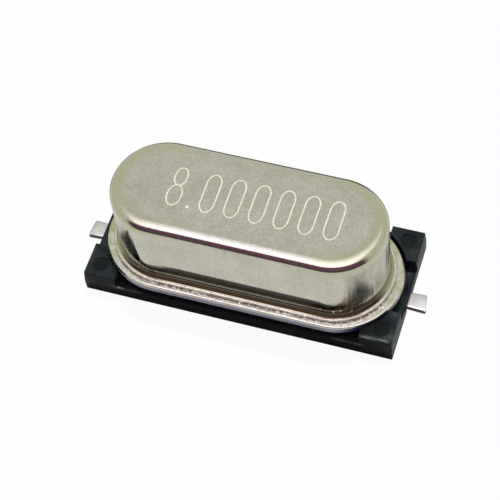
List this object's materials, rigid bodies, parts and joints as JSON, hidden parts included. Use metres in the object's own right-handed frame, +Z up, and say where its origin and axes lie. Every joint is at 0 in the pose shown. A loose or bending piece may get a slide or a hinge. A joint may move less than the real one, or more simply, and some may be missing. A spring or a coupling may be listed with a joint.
{
  "type": "crystal oscillator",
  "caption": "Quartz timing crystal: a low round-ended metal can welded to a header, on a black rectangular plastic base with flat solder leads at its ends.",
  "frame": {"origin": "middle of the face that meets the board", "axes": "+X along the can, towards the right lead; +Z up, away from the board"},
  "size_m": [0.0126, 0.0048, 0.0043],
  "materials": {
    "can_nickel": "satin nickel plate with a faint warm mottle",
    "header_nickel": "satin nickel plate, roughened around the weld",
    "base_plastic": "satin black moulding",
    "lead_tin": "bright tin plate",
    "seal_glass": "dark sealing glass",
    "clip_metal": "bare spring alloy",
    "blank_quartz": "finely lapped and etched quartz",
    "electrode_silver": "evaporated silver film",
    "glue_silver": "silver-filled glue"
  },
  "bodies": {
    "root": {"plastic_base": "base_plastic", "header_shell": "header_nickel", "cover_can": "can_nickel", "glass_seal_left": "seal_glass", "glass_seal_right": "seal_glass", "lead_left": "lead_tin", "lead_right": "lead_tin", "spring_clip_left": "clip_metal", "spring_clip_right": "clip_metal", "quartz_blank": "blank_quartz", "electrode_top": "electrode_silver", "electrode_bottom": "electrode_silver", "adhesive_dot_left": "glue_silver", "adhesive_dot_right": "glue_silver"}
  },
  "joints": []
}
